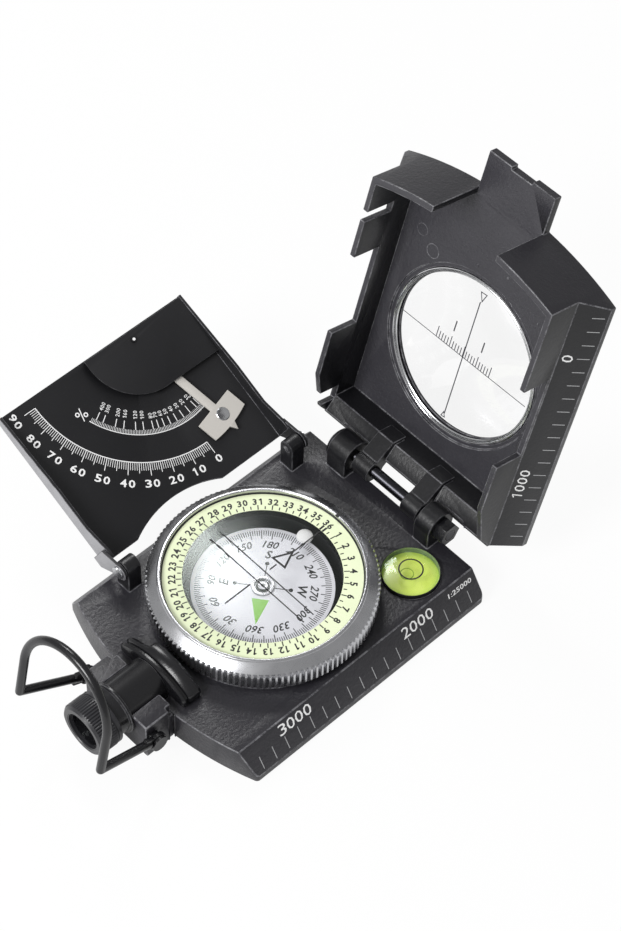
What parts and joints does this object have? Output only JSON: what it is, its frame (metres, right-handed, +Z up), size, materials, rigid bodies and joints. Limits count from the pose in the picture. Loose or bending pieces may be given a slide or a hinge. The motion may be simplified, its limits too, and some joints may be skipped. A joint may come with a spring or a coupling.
{
  "type": "inclinometer compass",
  "caption": "Folding black metal sighting compass with a fold-out clinometer plate, turning bezel, round level, slotted lid with window, prism eyepiece and wire bail.",
  "frame": {"origin": "centre of the underside of the base, under the middle of the dial", "axes": "+Z up out of the dial, +X from the eyepiece to the lid hinge, +Y towards the clinometer plate"},
  "size_m": [0.1447, 0.1021, 0.0976],
  "materials": {
    "black_paint": "satin",
    "blued_steel": "satin",
    "silver_rim": "brushed",
    "steel": "brushed",
    "luminous": "matte",
    "white_card": "matte",
    "clear_glass": "polished",
    "black_plastic": "matte",
    "green_liquid": "polished",
    "brass": "polished"
  },
  "bodies": {
    "base": {"base_casting": "black_paint", "hinge_pin": "blued_steel", "hinge_nut": "blued_steel", "capsule_bowl": "black_plastic", "pivot_post": "steel", "level_cup": "clear_glass", "level_liquid": "green_liquid", "level_window": "clear_glass", "prism_housing": "black_plastic", "prism": "clear_glass", "eyepiece_block": "black_paint", "eyepiece_barrel": "black_plastic", "bail_screw_left": "blued_steel", "bail_screw_right": "blued_steel", "clinometer_pin_left": "blued_steel", "clinometer_pin_right": "blued_steel"},
    "lid": {"lid_casting": "black_paint", "lid_lens": "clear_glass", "lens_ring": "silver_rim"},
    "bezel": {"bezel_ring": "silver_rim", "dial_ring": "luminous", "capsule_glass": "clear_glass"},
    "card": {"compass_card": "white_card", "card_cap": "brass", "card_magnet": "steel"},
    "clinometer": {"clinometer_plate": "black_paint", "clinometer_cover": "black_paint", "pendulum_rivet": "steel"},
    "pendulum": {"pendulum": "steel"},
    "eye_cell": {"lens_cell": "black_plastic", "eye_lens": "clear_glass"},
    "focus": {"focus_ring": "black_plastic"},
    "bail": {"wire_bail": "blued_steel"}
  },
  "joints": [
    {"name": "lid_hinge", "type": "hinge", "parent": "base", "child": "lid", "pos_m": [0.04253, 0, 0.01401], "axis": [0, -1, 0], "range_deg": [-73.8, 106.2]},
    {"name": "bezel_turn", "type": "hinge", "parent": "base", "child": "bezel", "pos_m": [0, 0, 0.0113], "axis": [0, 0, 1], "continuous": true},
    {"name": "card_swing", "type": "hinge", "parent": "base", "child": "card", "pos_m": [0, 0, 0.0127], "axis": [0, 0, 1], "continuous": true},
    {"name": "clinometer_fold", "type": "hinge", "parent": "base", "child": "clinometer", "pos_m": [0, 0.0243, 0.0162], "axis": [1, 0, 0], "range_deg": [-20, 152.5]},
    {"name": "pendulum_swing", "type": "hinge", "parent": "clinometer", "child": "pendulum", "pos_m": [0.0175, 0.06597, 0.03101], "axis": [0, 0.4617, -0.887], "range_deg": [-2.4, 104.6]},
    {"name": "focus_slide", "type": "slide", "parent": "base", "child": "eye_cell", "axis": [-1, 0, 0], "range_m": [-0.0008, 0.0008]},
    {"name": "focus_turn", "type": "hinge", "parent": "eye_cell", "child": "focus", "pos_m": [-0.0532, 0, 0.0096], "axis": [-1, 0, 0], "range_deg": [-180, 180]},
    {"name": "bail_swing", "type": "hinge", "parent": "base", "child": "bail", "pos_m": [-0.0444, 0, 0.0072], "axis": [0, 1, 0], "range_deg": [-40, 61]}
  ],
  "couplings": [
    {"joint": "focus_turn", "follows": "focus_slide", "rad_per_m": 3927}
  ]
}
